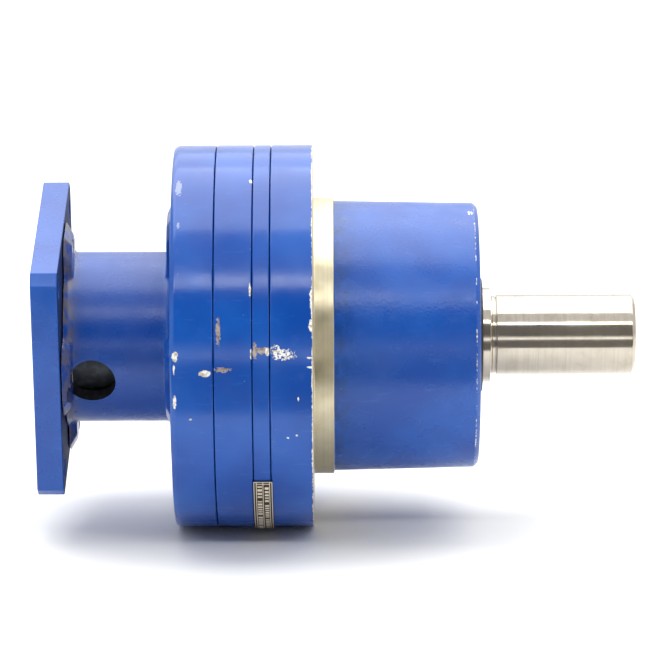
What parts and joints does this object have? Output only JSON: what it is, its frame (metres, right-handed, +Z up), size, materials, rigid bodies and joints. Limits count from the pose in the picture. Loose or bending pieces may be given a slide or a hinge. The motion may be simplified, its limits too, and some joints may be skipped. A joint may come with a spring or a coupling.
{
  "type": "inline gear reducer",
  "caption": "Inline planetary gear reducer: square motor plate, coupling neck with access hole, round disc housing with pilot, output nose and plain shaft.",
  "frame": {"origin": "on the shaft axis, half way between the motor plate's face and the output shaft's tip", "axes": "+X along the shaft axis towards the output shaft's tip, +Z up as the reducer lies"},
  "size_m": [0.28, 0.18, 0.18],
  "materials": {
    "casting_blue": "gloss enamel over cast grain",
    "disc_blue": "gloss enamel over turned steel",
    "plate_blue": "satin enamel over milled faces",
    "shaft_steel": "ground",
    "gear_steel": "ground",
    "hub_steel": "turned, browned",
    "black_oxide": "black oxide",
    "seal_rubber": "matt",
    "bronze": "drawn bronze",
    "nameplate": "etched, brass frame on dark ground"
  },
  "bodies": {
    "housing": {"motor_adapter_plate": "plate_blue", "coupling_housing": "casting_blue", "output_housing": "casting_blue", "input_flange": "disc_blue", "ring_gear": "disc_blue", "spacer_ring": "disc_blue", "nameplate": "nameplate", "input_shaft_seal": "seal_rubber", "output_shaft_seal": "seal_rubber", "housing_o_ring_1": "seal_rubber", "housing_o_ring_2": "seal_rubber", "housing_o_ring_3": "seal_rubber", "input_bearing_outer_ring": "gear_steel", "inner_bearing_outer_ring": "gear_steel", "outer_bearing_outer_ring": "gear_steel", "input_bearing_circlip": "gear_steel", "housing_screw_1": "black_oxide", "housing_screw_2": "black_oxide", "housing_screw_3": "black_oxide", "housing_screw_4": "black_oxide", "housing_screw_5": "black_oxide", "housing_screw_6": "black_oxide", "plate_screw_1": "black_oxide", "plate_screw_2": "black_oxide", "plate_screw_3": "black_oxide", "plate_screw_4": "black_oxide", "neck_screw_1": "black_oxide", "neck_screw_2": "black_oxide", "neck_screw_3": "black_oxide", "neck_screw_4": "black_oxide"},
    "output": {"output_shaft": "shaft_steel", "planet_pin_1": "shaft_steel", "planet_pin_2": "shaft_steel", "planet_pin_3": "shaft_steel", "carrier_cheek": "gear_steel", "inner_bearing_inner_ring": "gear_steel", "outer_bearing_inner_ring": "gear_steel", "bearing_spacer_sleeve": "gear_steel", "shaft_circlip": "gear_steel"},
    "input": {"input_shaft": "hub_steel", "clamp_ring": "hub_steel", "clamp_screw": "black_oxide", "sun_gear": "gear_steel", "sun_gear_circlip": "gear_steel", "input_bearing_inner_ring": "gear_steel"},
    "planet_1": {"planet_gear_1": "gear_steel", "planet_bush_1": "bronze"},
    "planet_2": {"planet_gear_2": "gear_steel", "planet_bush_2": "bronze"},
    "planet_3": {"planet_gear_3": "gear_steel", "planet_bush_3": "bronze"},
    "input_cage": {"input_bearing_balls": "bronze"},
    "inner_cage": {"inner_bearing_balls": "bronze"},
    "outer_cage": {"outer_bearing_balls": "bronze"}
  },
  "joints": [
    {"name": "output_turn", "type": "hinge", "parent": "housing", "child": "output", "pos_m": [0, 0, 0], "axis": [1, 0, 0], "continuous": true},
    {"name": "input_turn", "type": "hinge", "parent": "housing", "child": "input", "pos_m": [0, 0, 0], "axis": [1, 0, 0], "continuous": true},
    {"name": "planet_1_spin", "type": "hinge", "parent": "output", "child": "planet_1", "pos_m": [0, 0, 0.0405], "axis": [1, 0, 0], "continuous": true},
    {"name": "planet_2_spin", "type": "hinge", "parent": "output", "child": "planet_2", "pos_m": [0, 0.03507, -0.02025], "axis": [1, 0, 0], "continuous": true},
    {"name": "planet_3_spin", "type": "hinge", "parent": "output", "child": "planet_3", "pos_m": [0, -0.03507, -0.02025], "axis": [1, 0, 0], "continuous": true},
    {"name": "input_cage_turn", "type": "hinge", "parent": "housing", "child": "input_cage", "pos_m": [0, 0, 0], "axis": [1, 0, 0], "continuous": true},
    {"name": "inner_cage_turn", "type": "hinge", "parent": "housing", "child": "inner_cage", "pos_m": [0, 0, 0], "axis": [1, 0, 0], "continuous": true},
    {"name": "outer_cage_turn", "type": "hinge", "parent": "housing", "child": "outer_cage", "pos_m": [0, 0, 0], "axis": [1, 0, 0], "continuous": true}
  ],
  "couplings": [
    {"joint": "input_turn", "follows": "output_turn", "ratio": 4},
    {"joint": "planet_1_spin", "follows": "output_turn", "ratio": -3},
    {"joint": "planet_2_spin", "follows": "output_turn", "ratio": -3},
    {"joint": "planet_3_spin", "follows": "output_turn", "ratio": -3},
    {"joint": "input_cage_turn", "follows": "output_turn", "ratio": 1.7324},
    {"joint": "inner_cage_turn", "follows": "output_turn", "ratio": 0.41},
    {"joint": "outer_cage_turn", "follows": "output_turn", "ratio": 0.4046}
  ]
}
